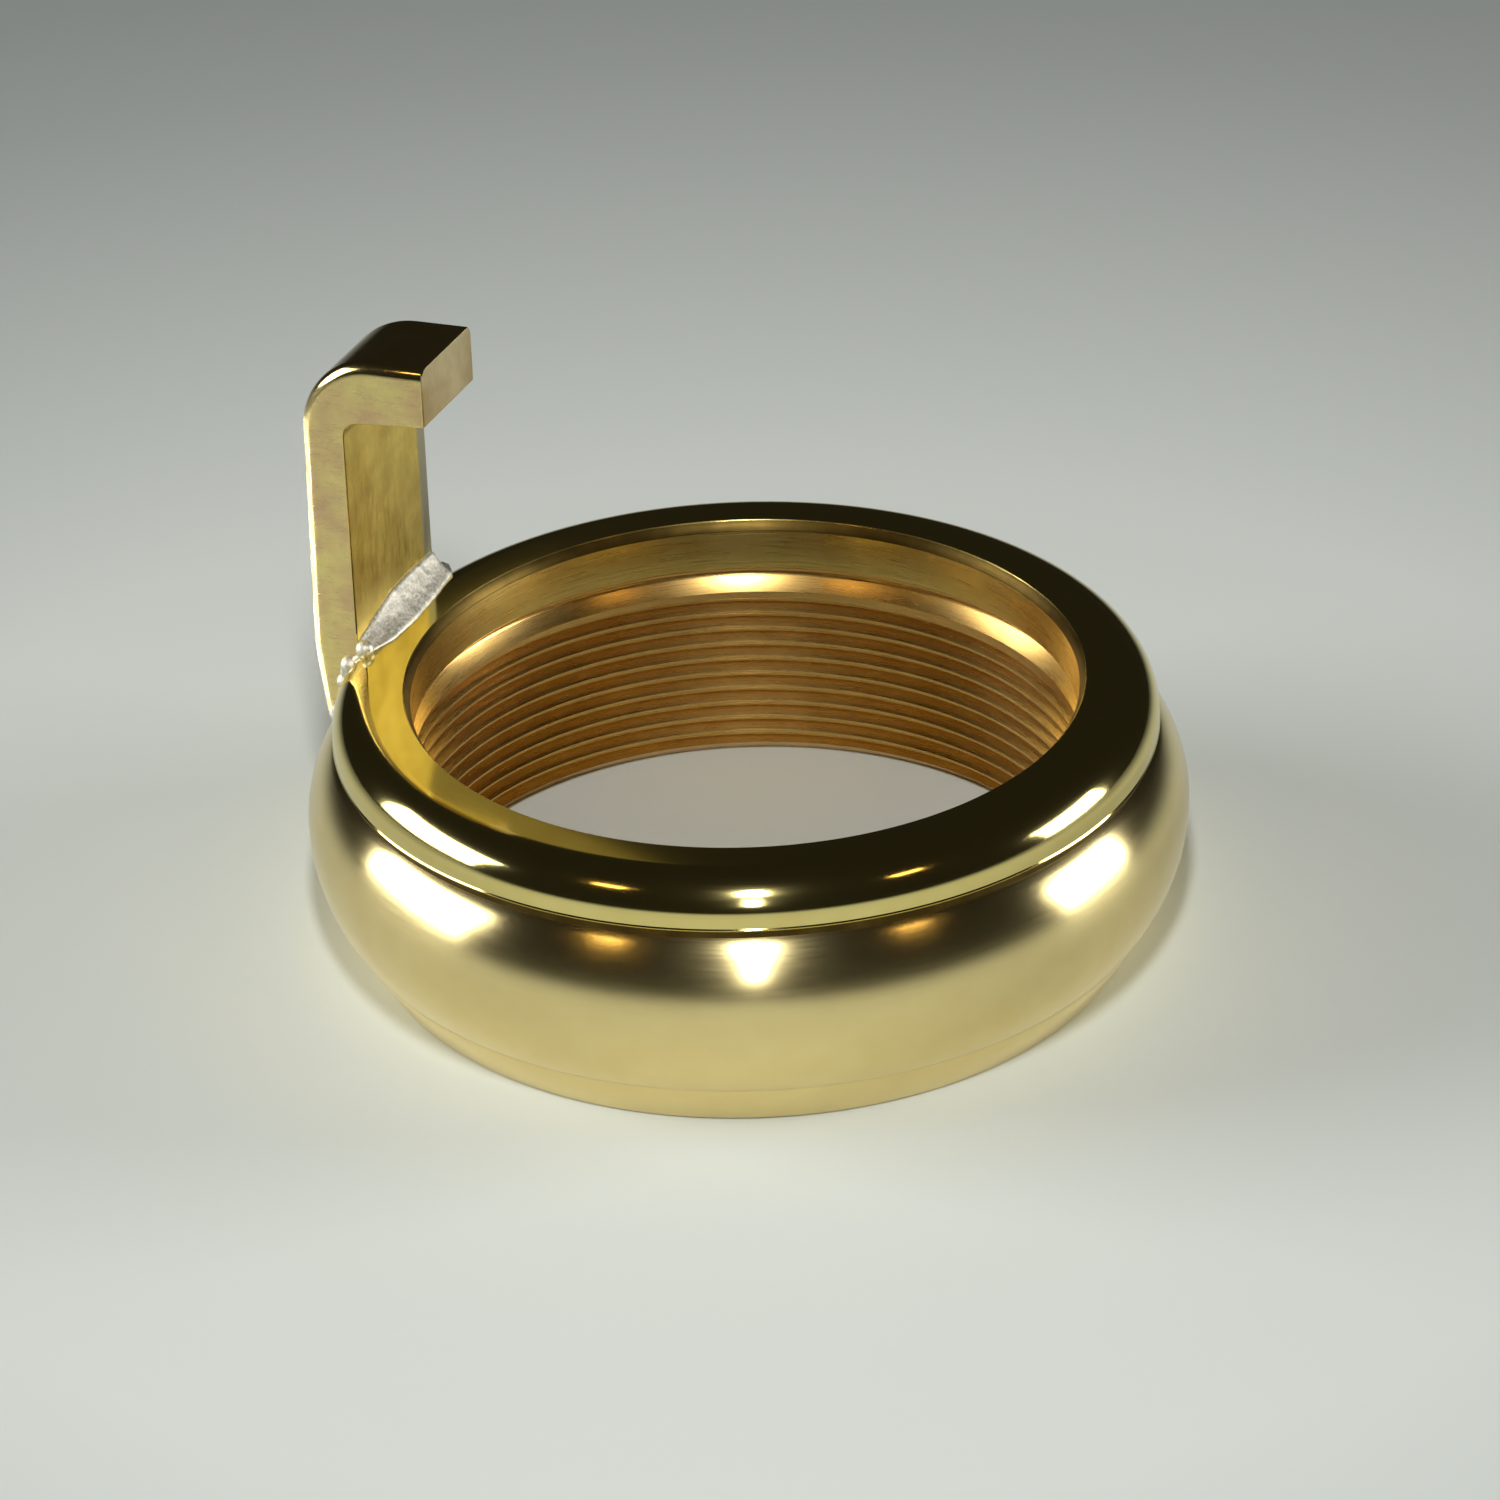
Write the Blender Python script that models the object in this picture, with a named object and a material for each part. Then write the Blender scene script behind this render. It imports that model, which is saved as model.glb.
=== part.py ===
"""Trombone slide-lock ring: a turned brass ring with an internal 60 degree thread, and a brass
hook silver-soldered over its top shoulder.

Frame: metres, +Z up. The ring's axis is Z and its bottom face lies on Z = 0. The hook stands on
the -X side, its arm points to the axis, and its width runs along Y.
"""

from math import asin, ceil, cos, degrees, pi, radians, sin, sqrt, tan

import bmesh
import bpy

MM = 0.001

# ---------------------------------------------------------------- driving dimensions (mm)
# Round stretches
SIDES = 48  # flats round the ring
ARC_STEPS = 5  # straight pieces in each round stretch of an outline
SHARP_ANGLE = 30.0  # degrees; edges sharper than this stay crisp in the shading

# Ring, inside, from the top face down
BORE_RADIUS = 11.90
MOUTH_CHAMFER = 0.22  # across
MOUTH_CHAMFER_DEPTH = 0.36
LIP_HEIGHT = 1.55  # plain bore under the mouth chamfer
RELIEF_HEIGHT = 1.02  # turned groove between the lip and the thread
RELIEF_DEPTH = 0.50
RELIEF_RUN_IN = 0.40  # height of the slope from the thread into the groove
RELIEF_RUN_OUT = 0.10  # height of the slope from the groove to the lip
CREST_CLEARANCE = 0.05  # the thread's crests stand this far back from the lip
THREAD_PITCH = 0.635
THREAD_CREST_FLAT = 0.09
THREAD_ROOT_FLAT = 0.08
THREAD_FLANK = 30.0  # degrees from the plane across the axis
THREAD_START = 1.25  # turns below the bottom face, which sets where the groove lies round the axis
THREAD_RUN_ON = 0.5  # turns that the groove runs on into the relief
THREAD_OVERCUT = 0.05  # the thread's cutter reaches this far inside the crests
CUTTER_STAGGER = 0.5  # sides; keeps the thread cutter's corners between the ring's own
ENTRY_CHAMFER = 0.54  # 45 degree chamfer at the bottom of the thread

# Ring, outside, from the top face down
RING_HEIGHT = 9.90
RING_WALL = 2.82  # plain bore to the upright wall
SHOULDER_CURVE = 1.28  # quarter round between the top face and the upright wall
UPRIGHT_HEIGHT = 0.50  # upright wall under the shoulder
GROOVE_HEIGHT = 0.42
GROOVE_DEPTH = 0.14
BULGE = 1.07  # how far the barrel swells past the upright wall
WIDEST_Z = 5.01  # height of the barrel's widest point
BARREL_LOW_INSET = 1.04  # how far the barrel has drawn in where it meets the lower band
LOWER_BAND_HEIGHT = 1.80
LOWER_BAND_TAPER = 1.06  # how much further the lower band draws in at the bottom face

# Hook
HOOK_WIDTH = 6.40
HOOK_OFFSET = 0.35  # the hook's middle stands this far to +Y of the ring's middle plane
LEG_SET_IN = 0.87  # the leg's inner face stands this far inside the upright wall
LEG_THICKNESS = 1.90
FOOT_DROP = 0.65  # the foot reaches this far below the groove
FOOT_TAPER = 0.28  # how much the leg thins at the bottom of its outer face
FOOT_TAPER_HEIGHT = 2.60
GAP_HEIGHT = 9.05  # ring's top face to the arm's underside
ARM_REACH = 3.21  # leg's inner face to the arm's end
ARM_RISE = 0.30  # how much higher the underside is at the arm's end
ARM_THICKNESS = 2.25
ARM_WIDTH = 4.05  # the arm is narrower than the leg, cut back on the +Y side
ARM_CUT_SLOPE = 2.10  # height of the sloping part of that cut
ARM_CUT_MARGIN = 2.00  # the cutting block stands out this far past the metal that it takes off
BEND_CURVE = 2.90  # outer corner of the bend
INNER_CURVE = 0.50  # inner corner of the bend

# Silver solder
SOLDER_FILM = 0.10  # space between soldered pieces
FILLET_NEAR = 0.40  # size of the inner fillet at the -Y side
FILLET_FAR = 1.15  # size of the inner fillet at the +Y side
FILLET_STATIONS = 7
FILLET_STEPS = 4  # straight pieces across the fillet's hollow face
FILLET_SINK = 0.77  # the fillet follows the shoulder this far down before it is cut to it
FRONT_BEAD = 0.22  # radius of the bead at the -Y side of the foot
BACK_BEAD = 0.28  # radius of the bead at the +Y side of the foot
OUTER_BEAD = 0.16  # radius of the bead under the foot's outer edge
OUTER_BEAD_STEPS = 8
BEAD_RESOLUTION = 2  # a bead's round section has 8 sides

# ---------------------------------------------------------------- worked-out dimensions (mm)
CREST_RADIUS = BORE_RADIUS + CREST_CLEARANCE
THREAD_SLOPE = tan(radians(THREAD_FLANK))
THREAD_DEPTH = (THREAD_PITCH - THREAD_CREST_FLAT - THREAD_ROOT_FLAT) / (2.0 * THREAD_SLOPE)
ROOT_RADIUS = CREST_RADIUS + THREAD_DEPTH
RELIEF_TOP_Z = RING_HEIGHT - MOUTH_CHAMFER_DEPTH - LIP_HEIGHT
THREAD_TOP_Z = RELIEF_TOP_Z - RELIEF_HEIGHT

WALL_RADIUS = BORE_RADIUS + RING_WALL
UPRIGHT_BOTTOM_Z = RING_HEIGHT - SHOULDER_CURVE - UPRIGHT_HEIGHT
BARREL_TOP_Z = UPRIGHT_BOTTOM_Z - GROOVE_HEIGHT
BARREL_RADIUS = WALL_RADIUS + BULGE
FOOT_RADIUS = BARREL_RADIUS - BARREL_LOW_INSET - LOWER_BAND_TAPER

LEG_INSIDE = WALL_RADIUS - LEG_SET_IN
LEG_OUTSIDE = LEG_INSIDE + LEG_THICKNESS
ARM_END = LEG_INSIDE - ARM_REACH
FOOT_BOTTOM_Z = BARREL_TOP_Z - FOOT_DROP
ARM_UNDERSIDE_Z = RING_HEIGHT + GAP_HEIGHT
HOOK_TOP_Z = ARM_UNDERSIDE_Z + ARM_RISE + ARM_THICKNESS
HOOK_NEAR = HOOK_OFFSET - HOOK_WIDTH / 2.0
HOOK_FAR = HOOK_OFFSET + HOOK_WIDTH / 2.0


# ---------------------------------------------------------------- helpers
def clear_scene():
    for obj in list(bpy.data.objects):
        bpy.data.objects.remove(obj, do_unlink=True)


def material(name, colour, metallic, roughness):
    mat = bpy.data.materials.new(name)
    mat.use_nodes = True
    shader = mat.node_tree.nodes["Principled BSDF"]
    shader.inputs["Base Color"].default_value = (*colour, 1.0)
    shader.inputs["Metallic"].default_value = metallic
    shader.inputs["Roughness"].default_value = roughness
    return mat


def to_object(bm, name, mat=None):
    """Add a mesh that was drawn in millimetres to the scene, in metres."""
    bmesh.ops.remove_doubles(bm, verts=bm.verts, dist=1e-5)
    bmesh.ops.recalc_face_normals(bm, faces=bm.faces)
    bmesh.ops.scale(bm, vec=(MM, MM, MM), verts=bm.verts)
    mesh = bpy.data.meshes.new(name)
    bm.to_mesh(mesh)
    bm.free()
    obj = bpy.data.objects.new(name, mesh)
    bpy.context.scene.collection.objects.link(obj)
    if mat:
        mesh.materials.append(mat)
        mesh.shade_smooth()
        mesh.set_sharp_from_angle(angle=radians(SHARP_ANGLE))
    return obj


def cut(obj, cutter):
    """Take the cutter's shape out of the object with a live Boolean."""
    cutter.hide_render = True
    cutter.display_type = "WIRE"
    modifier = obj.modifiers.new(cutter.name, "BOOLEAN")
    modifier.operation = "DIFFERENCE"
    modifier.solver = "EXACT"
    modifier.object = cutter


def arc(centre, radius, start, end, steps=ARC_STEPS):
    """Points on a circle; the angles are in degrees, from the first axis towards the second."""
    angles = [radians(start + (end - start) * i / steps) for i in range(steps + 1)]
    return [(centre[0] + radius * cos(a), centre[1] + radius * sin(a)) for a in angles]


def turned(outline):
    """Turn a closed outline of (radius, height) points round Z."""
    bm = bmesh.new()
    verts = [bm.verts.new((r, 0.0, z)) for r, z in outline]
    for i, vert in enumerate(verts):
        bm.edges.new((vert, verts[(i + 1) % len(verts)]))
    bmesh.ops.spin(
        bm, geom=bm.verts[:] + bm.edges[:], cent=(0, 0, 0), axis=(0, 0, 1),
        angle=2.0 * pi, steps=SIDES, use_merge=True,
    )
    return bm


def skinned(sections):
    """Join closed sections of equal length, given as lists of points, and cap both ends."""
    bm = bmesh.new()
    rows = [[bm.verts.new(point) for point in section] for section in sections]
    for row, following in zip(rows, rows[1:]):
        for i, vert in enumerate(row):
            j = (i + 1) % len(row)
            bm.faces.new((vert, row[j], following[j], following[i]))
    bm.faces.new(rows[0])
    bm.faces.new(reversed(rows[-1]))
    return bm


# ---------------------------------------------------------------- ring
def swell(height, depth):
    """Radius of a circle that draws in by depth over a height, from its widest point."""
    return (height**2 + depth**2) / (2.0 * depth)


BARREL_TOP_CURVE = swell(BARREL_TOP_Z - WIDEST_Z, BULGE)
BARREL_LOW_CURVE = swell(WIDEST_Z - LOWER_BAND_HEIGHT, BARREL_LOW_INSET)


def barrel_top_radius(z, grow):
    """Radius of the barrel above its widest point, moved out by grow."""
    curve = BARREL_TOP_CURVE + grow
    return BARREL_RADIUS - BARREL_TOP_CURVE + sqrt(curve**2 - (z - WIDEST_Z) ** 2)


def ring_outside(grow=0.0):
    """(radius, height) points from the top face down to the bottom face, moved out by grow."""
    shoulder = (WALL_RADIUS - SHOULDER_CURVE, RING_HEIGHT - SHOULDER_CURVE)
    points = arc(shoulder, SHOULDER_CURVE + grow, 90, 0)
    if grow == 0.0:
        floor = WALL_RADIUS - GROOVE_DEPTH
        points += [(WALL_RADIUS, UPRIGHT_BOTTOM_Z), (floor, UPRIGHT_BOTTOM_Z - GROOVE_DEPTH / 2)]
        points += [(floor, BARREL_TOP_Z + GROOVE_DEPTH / 2)]
    top_angle = degrees(asin((BARREL_TOP_Z - WIDEST_Z) / BARREL_TOP_CURVE))
    top_centre = (BARREL_RADIUS - BARREL_TOP_CURVE, WIDEST_Z)
    points += arc(top_centre, BARREL_TOP_CURVE + grow, top_angle, 0)
    low_angle = degrees(asin((WIDEST_Z - LOWER_BAND_HEIGHT) / BARREL_LOW_CURVE))
    low_centre = (BARREL_RADIUS - BARREL_LOW_CURVE, WIDEST_Z)
    points += arc(low_centre, BARREL_LOW_CURVE + grow, 0, -low_angle)[1:]
    points += [(FOOT_RADIUS + grow, 0.0)]
    return points


def ring_inside():
    """(radius, height) points from the bottom face up to the top face."""
    relief = CREST_RADIUS + RELIEF_DEPTH
    return [
        (CREST_RADIUS + ENTRY_CHAMFER, 0.0),
        (CREST_RADIUS, ENTRY_CHAMFER),
        (CREST_RADIUS, THREAD_TOP_Z),
        (relief, THREAD_TOP_Z + RELIEF_RUN_IN),
        (relief, RELIEF_TOP_Z - RELIEF_RUN_OUT),
        (BORE_RADIUS, RELIEF_TOP_Z),
        (BORE_RADIUS, RING_HEIGHT - MOUTH_CHAMFER_DEPTH),
        (BORE_RADIUS + MOUTH_CHAMFER, RING_HEIGHT),
    ]


def thread_cutter():
    """A helical bar whose section is the thread's groove, from below the ring into the relief."""
    inner = CREST_RADIUS - THREAD_OVERCUT
    root_half = THREAD_ROOT_FLAT / 2
    inner_half = root_half + (ROOT_RADIUS - inner) * THREAD_SLOPE
    section = [(inner, -inner_half), (inner, inner_half)]
    section += [(ROOT_RADIUS, root_half), (ROOT_RADIUS, -root_half)]
    bottom = -THREAD_START * THREAD_PITCH
    top = THREAD_TOP_Z + THREAD_RUN_ON * THREAD_PITCH
    steps = ceil((top - bottom) / THREAD_PITCH * SIDES)
    sections = []
    for i in range(steps + 1):
        turns = (i + CUTTER_STAGGER) / SIDES
        angle = 2.0 * pi * turns
        lift = bottom + THREAD_PITCH * turns
        sections.append([(r * cos(angle), r * sin(angle), z + lift) for r, z in section])
    return to_object(skinned(sections), "thread_cutter")


def make_ring(brass):
    ring = to_object(turned(ring_outside() + ring_inside()), "threaded_ring", brass)
    cut(ring, thread_cutter())
    return ring


def ring_envelope(grow, name):
    """The ring with its bore filled, grown on the outside: what soldered pieces are cut to."""
    outline = [(0.0, RING_HEIGHT + grow)] + ring_outside(grow) + [(0.0, 0.0)]
    return to_object(turned(outline), name)


# ---------------------------------------------------------------- hook
def hook_outline():
    """(distance from the axis, height) points round the hook's side."""
    bend = (LEG_OUTSIDE - BEND_CURVE, HOOK_TOP_Z - ARM_RISE - BEND_CURVE)
    inner = (LEG_INSIDE - INNER_CURVE, ARM_UNDERSIDE_Z - INNER_CURVE)
    points = [(LEG_OUTSIDE - FOOT_TAPER, FOOT_BOTTOM_Z), (LEG_OUTSIDE, FOOT_BOTTOM_Z + FOOT_TAPER_HEIGHT)]
    points += arc(bend, BEND_CURVE, 0, 90)
    points += [(ARM_END, HOOK_TOP_Z), (ARM_END, ARM_UNDERSIDE_Z + ARM_RISE)]
    points += arc(inner, INNER_CURVE, 90, 0)
    points += [(LEG_INSIDE, FOOT_BOTTOM_Z)]
    return points


def arm_cutter():
    """The block that narrows the arm on the +Y side, with a slope down to the leg's full width."""
    cut_y = HOOK_NEAR + ARM_WIDTH
    side = HOOK_FAR + ARM_CUT_MARGIN
    slope_top = ARM_UNDERSIDE_Z
    slope_bottom = slope_top - ARM_CUT_SLOPE
    above = HOOK_TOP_Z + ARM_CUT_MARGIN
    outline = [(cut_y, above), (cut_y, slope_top), (HOOK_FAR, slope_bottom)]
    outline += [(side, slope_bottom), (side, above)]
    ends = (-LEG_OUTSIDE - ARM_CUT_MARGIN, -ARM_END + ARM_CUT_MARGIN)
    return to_object(skinned([[(x, y, z) for y, z in outline] for x in ends]), "arm_cutter")


def make_hook(brass):
    ends = (HOOK_NEAR, HOOK_FAR)
    hook = to_object(skinned([[(-r, y, z) for r, z in hook_outline()] for y in ends]), "hook", brass)
    cut(hook, arm_cutter())
    cut(hook, ring_envelope(SOLDER_FILM, "foot_cutter"))
    return hook


# ---------------------------------------------------------------- silver solder
def make_inner_fillet(solder):
    """A hollow-faced wedge in the corner of the leg and the top face, larger towards +Y."""
    back = LEG_INSIDE - SOLDER_FILM
    sections = []
    for i in range(FILLET_STATIONS):
        share = i / (FILLET_STATIONS - 1)
        y = HOOK_NEAR + HOOK_WIDTH * share
        size = FILLET_NEAR + (FILLET_FAR - FILLET_NEAR) * share
        face = arc((back - size, RING_HEIGHT + size), size, -90, 0, FILLET_STEPS)
        below = RING_HEIGHT - FILLET_SINK
        section = [(back, below)] + [(back - size, below)] + face
        sections.append([(-r, y, z) for r, z in section])
    fillet = to_object(skinned(sections), "solder_inner_fillet", solder)
    cut(fillet, ring_envelope(SOLDER_FILM, "fillet_cutter"))
    return fillet


def bead(name, path, radius, solder):
    """A curve object with a round section and filled ends; its path is in millimetres."""
    curve = bpy.data.curves.new(name, "CURVE")
    curve.dimensions = "3D"
    curve.bevel_depth = radius * MM
    curve.bevel_resolution = BEAD_RESOLUTION
    curve.use_fill_caps = True
    curve.materials.append(solder)
    spline = curve.splines.new("POLY")
    spline.points.add(len(path) - 1)
    for point, place in zip(spline.points, path):
        point.co = (*(c * MM for c in place), 1.0)
    obj = bpy.data.objects.new(name, curve)
    bpy.context.scene.collection.objects.link(obj)
    return obj


def side_bead_path(y, radius):
    """Down over the shoulder, the wall and the top of the bulge, in a plane beside the foot."""
    path = []
    for r, z in ring_outside(SOLDER_FILM + radius):
        out = sqrt(r**2 - y**2)
        if out > LEG_INSIDE - FILLET_NEAR and z > FOOT_BOTTOM_Z:
            path.append((-out, y, z))
    return path


def outer_bead_path():
    """Along the foot's lower edge, lying on the bulge."""
    z = FOOT_BOTTOM_Z - SOLDER_FILM - OUTER_BEAD
    r = barrel_top_radius(z, SOLDER_FILM + OUTER_BEAD)
    path = []
    for i in range(OUTER_BEAD_STEPS + 1):
        y = HOOK_NEAR + HOOK_WIDTH * i / OUTER_BEAD_STEPS
        path.append((-sqrt(r**2 - y**2), y, z))
    return path


def make_beads(solder):
    front_y = HOOK_NEAR - SOLDER_FILM - FRONT_BEAD
    back_y = HOOK_FAR + SOLDER_FILM + BACK_BEAD
    bead("solder_front_bead", side_bead_path(front_y, FRONT_BEAD), FRONT_BEAD, solder)
    bead("solder_back_bead", side_bead_path(back_y, BACK_BEAD), BACK_BEAD, solder)
    bead("solder_outer_bead", outer_bead_path(), OUTER_BEAD, solder)


# ---------------------------------------------------------------- assembly
def main():
    clear_scene()
    brass = material("polished_brass", (0.72, 0.50, 0.16), 1.0, 0.14)
    satin = material("filed_brass", (0.70, 0.52, 0.20), 1.0, 0.32)
    solder = material("silver_solder", (0.58, 0.57, 0.52), 1.0, 0.45)
    make_ring(brass)
    make_hook(satin)
    make_inner_fillet(solder)
    make_beads(solder)


main()
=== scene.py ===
"""Looks for a trombone slide-lock ring: a turned brass ring with an inside thread, and a brass hook
silver-soldered over its shoulder. Works in metres, +Z up, with the ring's axis on Z and the hook on -X.
"""

import random
from math import asin, cos, degrees, hypot, pi, radians, sin, sqrt, tan

import bmesh
import bpy
from mathutils import Matrix, Vector


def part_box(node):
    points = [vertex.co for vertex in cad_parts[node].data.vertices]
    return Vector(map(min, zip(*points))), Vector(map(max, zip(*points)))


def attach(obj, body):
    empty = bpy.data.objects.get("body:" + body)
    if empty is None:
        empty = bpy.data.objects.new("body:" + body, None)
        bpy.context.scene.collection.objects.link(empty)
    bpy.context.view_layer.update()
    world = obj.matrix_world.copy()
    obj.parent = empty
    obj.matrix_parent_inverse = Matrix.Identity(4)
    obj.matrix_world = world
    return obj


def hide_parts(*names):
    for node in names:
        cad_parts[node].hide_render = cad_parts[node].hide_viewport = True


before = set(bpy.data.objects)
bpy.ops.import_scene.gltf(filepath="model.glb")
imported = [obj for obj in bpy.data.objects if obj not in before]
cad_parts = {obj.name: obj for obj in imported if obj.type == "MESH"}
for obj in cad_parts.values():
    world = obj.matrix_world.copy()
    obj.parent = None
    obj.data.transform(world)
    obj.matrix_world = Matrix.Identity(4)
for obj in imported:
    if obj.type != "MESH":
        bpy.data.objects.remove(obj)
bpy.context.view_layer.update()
MM = 0.001

# ---------------------------------------------------------------- sizes from the frame (mm)
RING_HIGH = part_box("threaded_ring")[1] / MM
HOOK_LOW, HOOK_HIGH = [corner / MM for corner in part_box("hook")]
RING_TOP = RING_HIGH.z
BARREL_RADIUS = RING_HIGH.x
LEG_OUTSIDE = -HOOK_LOW.x
ARM_END = -HOOK_HIGH.x
FOOT_BOTTOM = HOOK_LOW.z
HOOK_TOP = HOOK_HIGH.z
HOOK_NEAR, HOOK_FAR = HOOK_LOW.y, HOOK_HIGH.y

# ---------------------------------------------------------------- turned shapes (mm)
RING_SIDES = 256
BORE_RADIUS = 11.90
CREST_RADIUS = BORE_RADIUS + 0.05
MOUTH_CHAMFER, MOUTH_DEPTH = 0.22, 0.36
LIP_BOTTOM = RING_TOP - 1.91
RELIEF_RADIUS = CREST_RADIUS + 0.50
THREAD_TOP = LIP_BOTTOM - 1.02
ENTRY_RADIUS = CREST_RADIUS + 0.54
WALL_RADIUS = 14.72
SHOULDER = 1.50
SHOULDER_END = 12.0  # degrees short of upright where the shoulder meets the wall
WALL_BOTTOM = RING_TOP - 1.78
GROOVE_DEPTH = 0.14
BARREL_TOP = WALL_BOTTOM - 0.42
WIDEST = 5.01
BAND_TOP = 1.80
BAND_RADIUS = BARREL_RADIUS - 1.04
FOOT_RADIUS = BAND_RADIUS - 1.06
TAP_OVERCUT = 0.20  # how far the tap stands inside the crests

LIP_LINE = 0.02  # half the height of the small break at each inside edge
GROOVE_STEP = 0.09  # height of the groove's rounded sides
BURR = 0.03  # how far the wall's bottom edge stands out

PITCH = 0.635
ROOT_HALF = 0.04  # half the flat at the thread's roots
THREAD_FLANK = 30.0  # degrees
CREST_BREAK = 0.03  # depth over which the crests are eased
THREAD_START = 1.25  # turns below the bottom face
ROOT_RADIUS = CREST_RADIUS + 0.403


# ---------------------------------------------------------------- modelling helpers
def put_down():
    """Leave edit mode and select nothing."""
    if bpy.context.mode != "OBJECT":
        bpy.ops.object.mode_set(mode="OBJECT")
    bpy.ops.object.select_all(action="DESELECT")


def take_up(piece, mode="VERT"):
    """Open one piece in edit mode with nothing selected."""
    put_down()
    bpy.context.view_layer.objects.active = piece
    piece.select_set(True)
    bpy.ops.object.mode_set(mode="EDIT")
    bpy.ops.mesh.select_mode(type=mode)
    bpy.ops.mesh.select_all(action="DESELECT")


def pick(piece, kind, test):
    """Select the verts, edges or faces whose place passes the test, in edit mode."""
    bm = bmesh.from_edit_mesh(piece.data)
    for part in getattr(bm, kind):
        if kind == "verts":
            part.select = test(part.co / MM)
        elif kind == "edges":
            part.select = all(test(v.co / MM) for v in part.verts)
        else:
            part.select = test(part.calc_center_median() / MM, part.normal)
    bm.select_flush_mode()
    bmesh.update_edit_mesh(piece.data)


def named(name):
    """Name the new primitive and give it an origin-placed, unscaled mesh."""
    piece = bpy.context.object
    piece.name = piece.data.name = name
    bpy.ops.object.transform_apply(location=True, rotation=True, scale=True)
    return piece


def apply(piece, kind, **settings):
    """Add a modifier with these settings and apply it."""
    put_down()
    bpy.context.view_layer.objects.active = piece
    piece.select_set(True)
    modifier = piece.modifiers.new(kind.lower(), kind)
    for key, value in settings.items():
        setattr(modifier, key, value)
    bpy.ops.object.modifier_apply(modifier=modifier.name)


def make_outward(piece):
    """Merge doubles, then point every face outwards."""
    take_up(piece)
    bpy.ops.mesh.select_all(action="SELECT")
    bpy.ops.mesh.remove_doubles(threshold=1e-8)
    bpy.ops.mesh.normals_make_consistent(inside=False)
    bm = bmesh.from_edit_mesh(piece.data)
    if bm.calc_volume(signed=True) < 0.0:
        bpy.ops.mesh.flip_normals()
    put_down()


def arc(centre, radius, start, end, steps):
    """Points on a circle in the (radius, height) plane; angles in degrees from outwards towards up."""
    angles = [radians(start + (end - start) * i / steps) for i in range(steps + 1)]
    return [(centre[0] + radius * cos(a), centre[1] + radius * sin(a)) for a in angles]


def swell(height, depth):
    """Radius of a circle that draws in by depth over a height, from its widest point."""
    return (height**2 + depth**2) / (2.0 * depth)


def turn(name, outline):
    """Extrude a circle along (radius, height) points in mm, then bridge the last to the first."""
    put_down()
    r, z = outline[0]
    bpy.ops.mesh.primitive_circle_add(vertices=RING_SIDES, radius=r * MM, location=(0, 0, z * MM))
    piece = named(name)
    take_up(piece)
    bpy.ops.mesh.select_all(action="SELECT")
    for (r0, z0), (r1, z1) in zip(outline, outline[1:]):
        bpy.ops.mesh.extrude_edges_move(TRANSFORM_OT_translate={"value": (0, 0, (z1 - z0) * MM)})
        bpy.ops.transform.resize(value=(r1 / r0, r1 / r0, 1), center_override=(0, 0, 0))
    bpy.ops.mesh.select_all(action="DESELECT")
    bpy.ops.mesh.select_mode(type="EDGE")
    bpy.ops.mesh.select_non_manifold()
    bpy.ops.mesh.bridge_edge_loops()
    make_outward(piece)
    return piece


def scrap(piece):
    bpy.data.objects.remove(piece, do_unlink=True)


def subtract(piece, tool):
    apply(piece, "BOOLEAN", operation="DIFFERENCE", solver="EXACT", object=tool)
    scrap(tool)


# ---------------------------------------------------------------- ring
def ring_outside(grow=0.0, steps=14):
    """(radius, height) points from the top face down to the bottom face, moved out by grow."""
    shoulder = (WALL_RADIUS - SHOULDER * cos(radians(SHOULDER_END)), RING_TOP - SHOULDER)
    points = arc(shoulder, SHOULDER + grow, 90, SHOULDER_END, steps)
    if grow == 0.0:
        floor = WALL_RADIUS - GROOVE_DEPTH
        points += [(WALL_RADIUS, WALL_BOTTOM + 0.10), (WALL_RADIUS + BURR, WALL_BOTTOM + 0.05)]
        points += [(WALL_RADIUS + 0.01, WALL_BOTTOM)]
        points += [(floor, WALL_BOTTOM - GROOVE_STEP), (floor - 0.02, WALL_BOTTOM - 0.16)]
        points += [(floor, BARREL_TOP + GROOVE_STEP)]
    top = swell(BARREL_TOP - WIDEST, BARREL_RADIUS - WALL_RADIUS)
    angle = degrees(asin((BARREL_TOP - WIDEST) / top))
    points += arc((BARREL_RADIUS - top, WIDEST), top + grow, angle, 0, steps)
    low = swell(WIDEST - BAND_TOP, BARREL_RADIUS - BAND_RADIUS)
    angle = degrees(asin((WIDEST - BAND_TOP) / low))
    points += arc((BARREL_RADIUS - low, WIDEST), low + grow, 0, -angle, steps)[1:]
    if grow == 0.0:
        points += [(BAND_RADIUS - 0.045, BAND_TOP - 0.04), (BAND_RADIUS - 0.06, BAND_TOP - 0.12)]
    points += [(FOOT_RADIUS + 0.06 + grow, 0.10), (FOOT_RADIUS + grow, 0.03), (FOOT_RADIUS - 0.06, 0.0)]
    return points


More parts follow.
